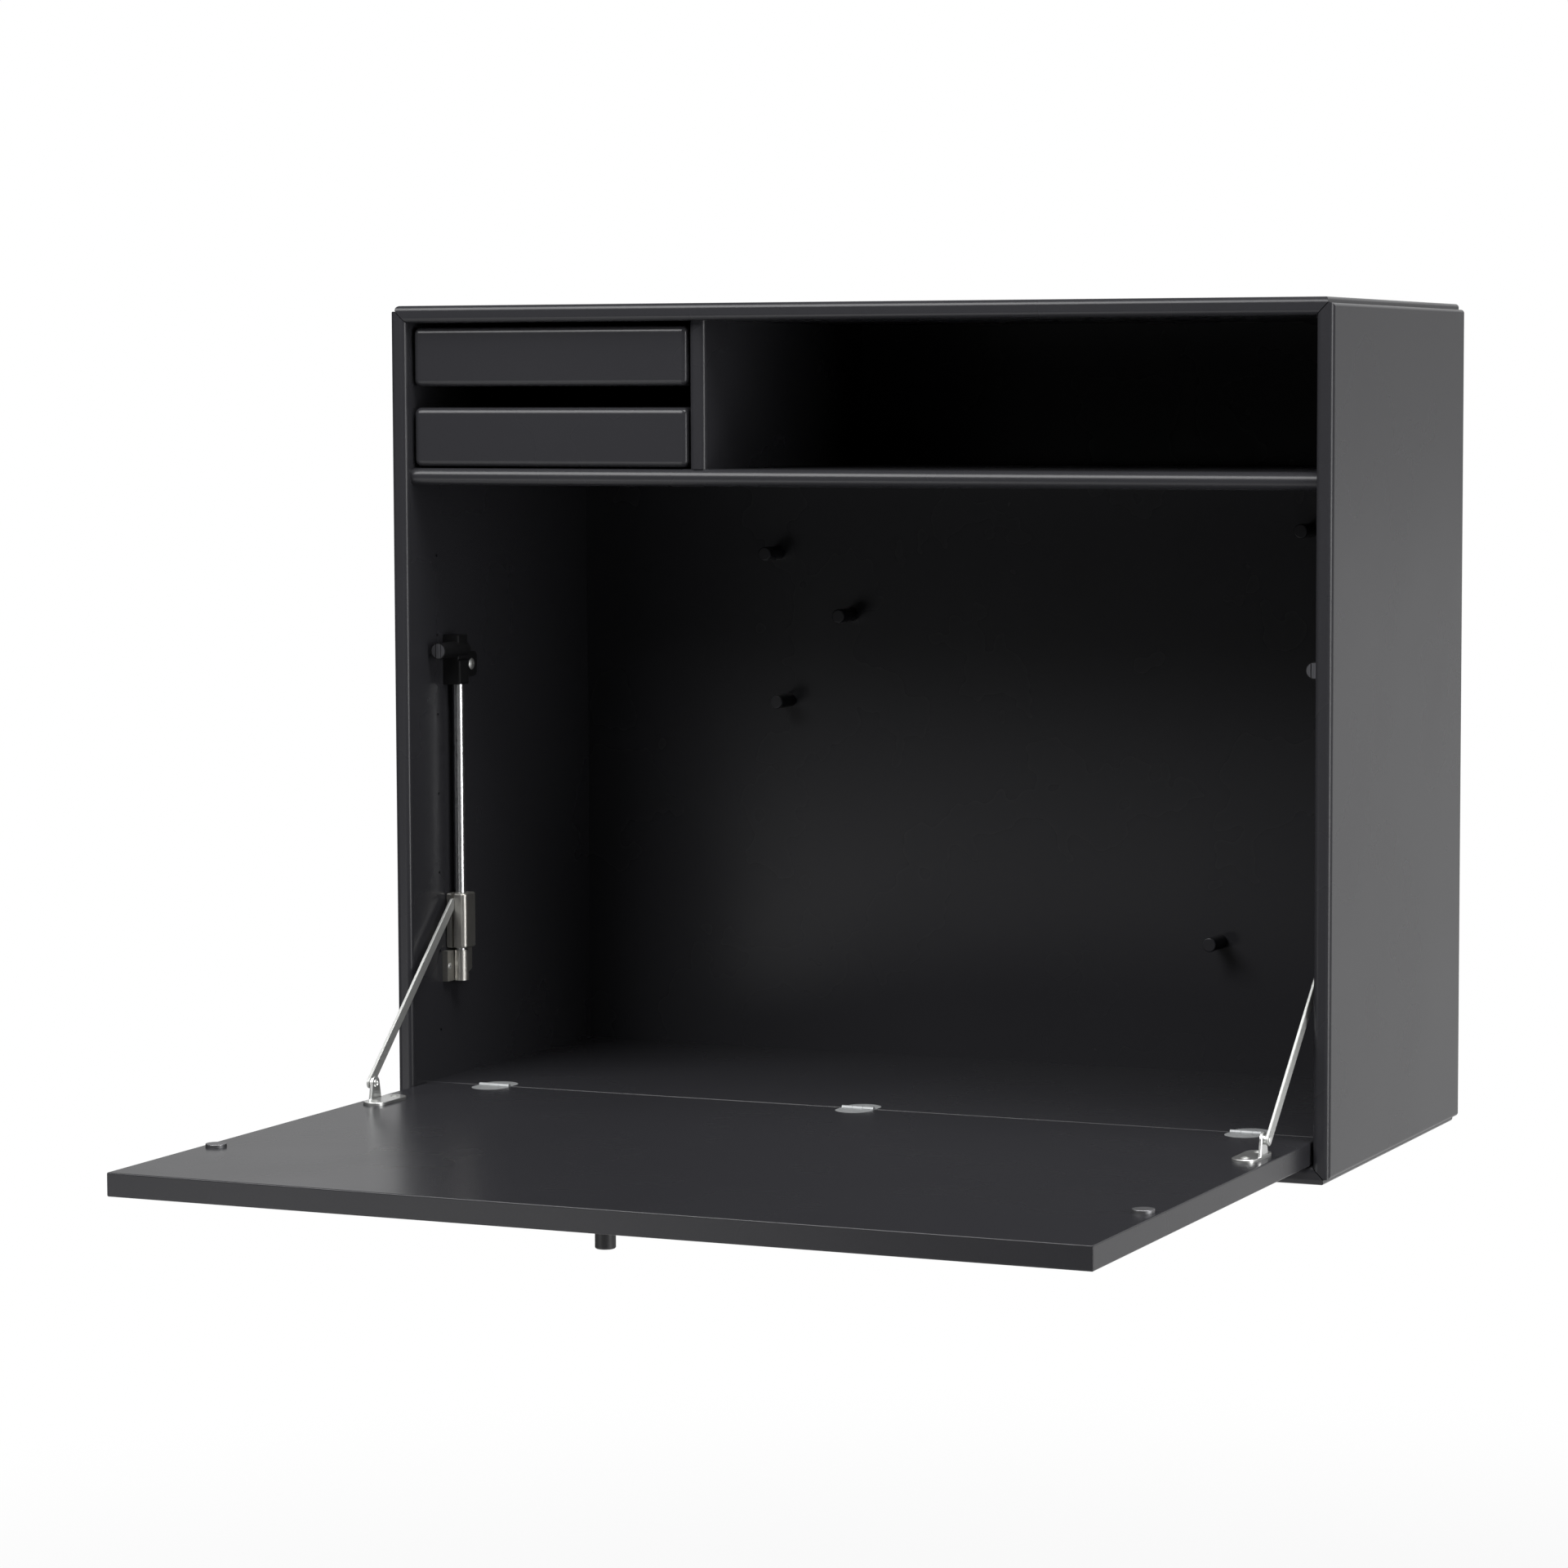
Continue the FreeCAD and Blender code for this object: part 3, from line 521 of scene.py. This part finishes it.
# Polished nickel: a clear mirror over a bright ground. Satin strip: a flat grey with a soft shine.
polished_nickel = brushed_metal(
    "polished_nickel", "#C6C7C5", "#DEDFDD", roughness=0.42, streak_mm=0.3, along="Y", clear_coat=1.0,
)
satin_strip = brushed_metal(
    "satin_nickel_strip", "#A8A9A7", "#BFC0BE", roughness=0.6, streak_mm=0.3, along="Y",
)
for side in sides:
    dress(cast_nickel, ["stay_slider_" + side])
    dress(satin_strip, ["stay_arm_" + side])
    dress(polished_nickel, ["flap_bracket_" + side])
bracket_shank_r = 1.5 * mm
bracket_dome = 1.0 * mm
upright_screws("flap_bracket_screws", bracket_shank_r, bracket_dome, zinc_plate, "flap", "bracket_screws")


# The rivet on which each arm turns: steel, with a shoulder between arm and ear, and hollow at one end.
# It is pressed tight in the ear of the bracket and leaves the arm free.
rivet_r = 2.0 * mm
rivet_shoulder_r = 3.0 * mm
rivet_edge = 0.2 * mm
inner_end_r = 2.7 * mm
inner_end_t = 0.6 * mm
rivet_dish_r = 1.9 * mm
rivet_dish_floor_share = 0.6
rivet_dish_depth = 0.8 * mm
outer_end_r = 2.4 * mm
outer_end_t = 0.3 * mm
packed_head_t = 1.2 * mm
ear_t = 2.0 * mm
arm_t = 2.0 * mm
rivet_play = 0.2 * mm
rivet_places = []
for low, high in solids("bracket_rivets"):
    inward = -1 if low.x > 0 else 1
    tip = Vector((low.x if low.x > 0 else high.x, (low.y + high.y) / 2, (low.z + high.z) / 2))
    ear_inner = packed_head_t
    ear_outer = ear_inner + ear_t
    arm_outer = high.x - low.x - packed_head_t
    arm_inner = arm_outer - arm_t - 2 * rivet_play
    first = ear_inner - inner_end_t
    last = arm_outer + outer_end_t
    dish_floor = first + rivet_dish_depth
    outline = [
        (0.0, dish_floor), (rivet_dish_r * rivet_dish_floor_share, dish_floor), (rivet_dish_r, first),
        (inner_end_r - rivet_edge, first), (inner_end_r, first + rivet_edge), (inner_end_r, ear_inner),
        (rivet_r, ear_inner), (rivet_r, ear_outer), (rivet_shoulder_r, ear_outer),
        (rivet_shoulder_r, arm_inner), (rivet_r, arm_inner), (rivet_r, arm_outer),
        (outer_end_r, arm_outer), (outer_end_r, last - rivet_edge), (outer_end_r - rivet_edge, last),
        (0.0, last),
    ]
    rivet = lathe([(radius, -depth) for radius, depth in outline])
    rivet_places.append((rivet, pointing(tip, (inward, 0, 0), 0.0)))
fixed("stay_rivets", rivet_places, polished_nickel, "flap", "bracket_rivets")


# The stage: a pale floor as far below as under a wall-hung desk, soft lamps and a white background.
# The floor keeps the object's shadow. Floor and background are white for the camera, and for reflections
# that look behind the object.
floor_drop = 0.72
floor_reach = 40.0
floor_mesh = bpy.data.meshes.new("floor")
floor_mesh.from_pydata(
    [(sx * floor_reach, sy * floor_reach, -floor_drop) for sx, sy in ((-1, -1), (1, -1), (1, 1), (-1, 1))],
    [], [(0, 1, 2, 3)],
)
floor = bpy.data.objects.new("floor", floor_mesh)
bpy.context.scene.collection.objects.link(floor)


def white_for(tree, behind):
    """1 where a ray shows the white background: camera rays, and reflections that look behind the object."""
    path = tree.nodes.new("ShaderNodeLightPath").outputs
    through = add(tree, "Math", {
        "Value": path["Is Glossy Ray"], "Value_001": path["Is Transmission Ray"],
    }, operation="MAXIMUM")
    reflected = add(tree, "Math", {"Value": through, "Value_001": behind}, operation="MULTIPLY")
    return add(tree, "Math", {"Value": path["Is Camera Ray"], "Value_001": reflected}, operation="MAXIMUM")


# The floor paint: reflections see it white towards the rear and the right only, and the camera sees it
# nearly white under the object, where the shadow falls, and white further out.
white_rear_y = (-0.3, 0.6)
white_right_x = (-0.8, 0.8)
white_right_share = 0.81
shadow_reach = (0.8, 2.5)
white_near_share = 0.75
floor_paint, tree, shader, place = new_material("pale_floor")
feed(tree, shader, {"Base Color": linear("#E6E6E6"), "Roughness": 0.9, "Specular IOR Level": 0.0})
place_x, place_y = [add(tree, "SeparateXYZ", {"Vector": place}, axis) for axis in "XY"]
rearward = add(tree, "MapRange", {
    "Value": place_y, "From Min": white_rear_y[0], "From Max": white_rear_y[1],
}, interpolation_type="SMOOTHSTEP")
rightward = add(tree, "MapRange", {
    "Value": place_x, "From Min": white_right_x[0], "From Max": white_right_x[1],
    "To Max": white_right_share,
}, interpolation_type="SMOOTHSTEP")
behind = add(tree, "Math", {"Value": rearward, "Value_001": rightward}, operation="MULTIPLY")
glow = add(tree, "Emission", {"Color": linear("#FFFFFF"), "Strength": 1.0})
distance = add(tree, "VectorMath", {"Vector": place}, "Value", operation="LENGTH")
white_share = add(tree, "MapRange", {
    "Value": distance, "From Min": shadow_reach[0], "From Max": shadow_reach[1],
    "To Min": white_near_share, "To Max": 1.0,
}, interpolation_type="SMOOTHSTEP")
white = add(tree, "Math", {
    "Value": white_for(tree, behind), "Value_001": white_share,
}, operation="MULTIPLY")
mixed = add(tree, "MixShader", {"Fac": white, "Shader": shader.outputs[0], "Shader_001": glow})
feed(tree, tree.nodes["Material Output"], {"Surface": mixed})
floor_mesh.materials.append(floor_paint)

# The backdrop shines on the object from behind only: most from above, half as much from the right, and
# hardly at all from low on the left.
backdrop_y = (0.5, 0.85)
upper_z = (0.07, 0.22)
upper_level = (0.1, 0.88)
right_x = (-0.42, -0.1)
right_level = 0.5
world = bpy.data.worlds.new("white_studio")
bpy.context.scene.world = world
world.use_nodes = True
tree = world.node_tree
heading = add(tree, "TexCoord", {}, "Generated")
heading_x, heading_y, heading_z = [add(tree, "SeparateXYZ", {"Vector": heading}, axis) for axis in "XYZ"]
backdrop = add(tree, "MapRange", {
    "Value": heading_y, "From Min": backdrop_y[0], "From Max": backdrop_y[1],
}, interpolation_type="SMOOTHSTEP")
upper = add(tree, "MapRange", {
    "Value": heading_z, "From Min": upper_z[0], "From Max": upper_z[1],
    "To Min": upper_level[0], "To Max": upper_level[1],
}, interpolation_type="SMOOTHSTEP")
rightward = add(tree, "MapRange", {
    "Value": heading_x, "From Min": right_x[0], "From Max": right_x[1], "To Max": right_level,
}, interpolation_type="SMOOTHSTEP")
lit = add(tree, "Math", {"Value": upper, "Value_001": rightward}, operation="MAXIMUM")
behind = add(tree, "Math", {"Value": backdrop, "Value_001": lit}, operation="MULTIPLY")
level = add(tree, "Math", {"Value": behind, "Value_001": white_for(tree, behind)}, operation="MAXIMUM")
feed(tree, tree.nodes["Background"], {"Color": linear("#FFFFFF"), "Strength": level})

# Four softboxes: places and sizes in metres, power in watts.
middle = (cad_low + cad_high) / 2


def softbox(name, place, width, height, power):
    """A rectangular softbox that faces the middle of the object."""
    lamp = bpy.data.lights.new(name, "AREA")
    lamp.shape = "RECTANGLE"
    lamp.size = width
    lamp.size_y = height
    lamp.energy = power
    holder = bpy.data.objects.new(name, lamp)
    holder.location = place
    holder.rotation_mode = "QUATERNION"
    holder.rotation_quaternion = (middle - Vector(place)).to_track_quat("-Z", "Y")
    bpy.context.scene.collection.objects.link(holder)


softbox("right_softbox", place=(2.5, -1.0, 0.3), width=0.9, height=1.8, power=44)
softbox("key_softbox", place=(-0.92, -1.86, 1.92), width=1.6, height=1.4, power=80)
softbox("top_softbox", place=(0.8, -0.65, 2.2), width=1.3, height=1.3, power=71)
softbox("low_softbox", place=(-0.85, -1.85, -0.35), width=0.9, height=0.6, power=3.3)
bpy.context.scene.view_settings.view_transform = "Standard"


# The camera, fitted to the edges of the photograph.
# Pixels are counted on its frame of 1920 by 1920.
frame_px = 1920.0
focal_px = 5728.4
centre_px = (1100.0, 952.23)
camera_place = Vector((1.28131, -3.20729, 0.5190))
yaw = math.radians(-23.10)
pitch = math.radians(-4.68)
roll = math.radians(-0.11)
ahead = Vector((math.sin(yaw) * math.cos(pitch), math.cos(yaw) * math.cos(pitch), math.sin(pitch)))
across = Vector((math.cos(yaw), -math.sin(yaw), 0.0))
above = across.cross(ahead)
right = math.cos(roll) * across + math.sin(roll) * above
up = math.cos(roll) * above - math.sin(roll) * across
lens = bpy.data.cameras.new("camera")
lens.sensor_width = 36.0
lens.lens = lens.sensor_width * focal_px / frame_px
lens.shift_x = (frame_px / 2 - centre_px[0]) / frame_px
lens.shift_y = (centre_px[1] - frame_px / 2) / frame_px
lens.clip_end = 100.0
camera = bpy.data.objects.new("camera", lens)
camera.matrix_world = Matrix((right, up, -ahead)).transposed().to_4x4()
camera.location = camera_place
bpy.context.scene.collection.objects.link(camera)
bpy.context.scene.camera = camera
